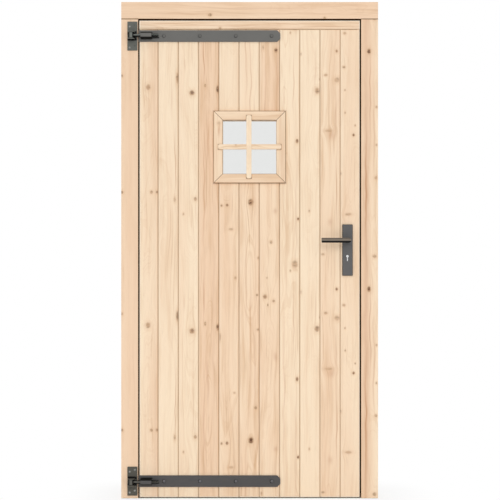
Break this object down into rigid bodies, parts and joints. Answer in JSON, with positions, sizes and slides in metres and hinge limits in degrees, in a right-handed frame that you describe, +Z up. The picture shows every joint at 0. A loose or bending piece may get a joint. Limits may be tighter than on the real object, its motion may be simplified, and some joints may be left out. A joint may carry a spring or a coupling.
{
  "type": "framed ledged and boarded wooden door in its frame",
  "caption": "Outward-opening boarded pine door in a timber frame, with a small square barred window, long strap hinges and a lever handle on a key plate.",
  "frame": {"origin": "foot of the hinge jamb's outer wall face, at the middle of the frame's depth", "axes": "+X along the wall from hinge side to lock side, -Y out of the door's front, +Z up"},
  "size_m": [1.1, 0.179, 2.125],
  "materials": {
    "frame_timber": "planed pale pine, oiled",
    "board_timber": "planed pale pine, oiled",
    "rail_timber": "planed pale pine, oiled",
    "trim_timber": "planed pale pine, oiled",
    "window_glass": "clear float glass",
    "strap_steel": "dark grey powder coat",
    "hinge_steel": "black powder coat",
    "handle_steel": "dark grey satin coat",
    "lock_steel": "brushed steel",
    "seal_rubber": "dark brown rubber lip"
  },
  "bodies": {
    "frame": {"hinge_jamb": "frame_timber", "lock_jamb": "frame_timber", "head": "frame_timber", "threshold": "frame_timber", "strike_plate": "lock_steel", "upper_bracket": "hinge_steel", "lower_bracket": "hinge_steel", "hinge_pins": "hinge_steel"},
    "leaf": {"hinge_stile": "rail_timber", "lock_stile": "rail_timber", "brace": "rail_timber", "front_trim": "trim_timber", "back_trim": "trim_timber", "glass": "window_glass", "upright_bar": "trim_timber", "cross_bar": "trim_timber", "lock_case": "lock_steel", "outer_plate": "handle_steel", "inner_plate": "handle_steel", "top_rail": "rail_timber", "window_rail": "rail_timber", "middle_rail": "rail_timber", "bottom_rail": "rail_timber", "board_01": "board_timber", "board_02": "board_timber", "board_03": "board_timber", "board_04": "board_timber", "board_05": "board_timber", "board_06": "board_timber", "board_07": "board_timber", "board_08": "board_timber", "board_09": "board_timber", "board_10": "board_timber", "board_11": "board_timber", "upper_eyebolt": "hinge_steel", "upper_strap": "strap_steel", "lower_eyebolt": "hinge_steel", "lower_strap": "strap_steel"},
    "lever": {"outer_handle": "handle_steel", "inner_handle": "handle_steel", "spindle": "lock_steel"}
  },
  "joints": [
    {"name": "door_swing", "type": "hinge", "parent": "frame", "child": "leaf", "pos_m": [0.0442, -0.064, 1], "axis": [0, 0, -1], "range_deg": [0, 170]},
    {"name": "lever_turn", "type": "hinge", "parent": "leaf", "child": "lever", "pos_m": [0.9688, -0.016, 1.104], "axis": [0, -1, 0], "range_deg": [0, 40], "stiffness_Nm_per_rad": 1.5, "springref_deg": -34.38}
  ]
}
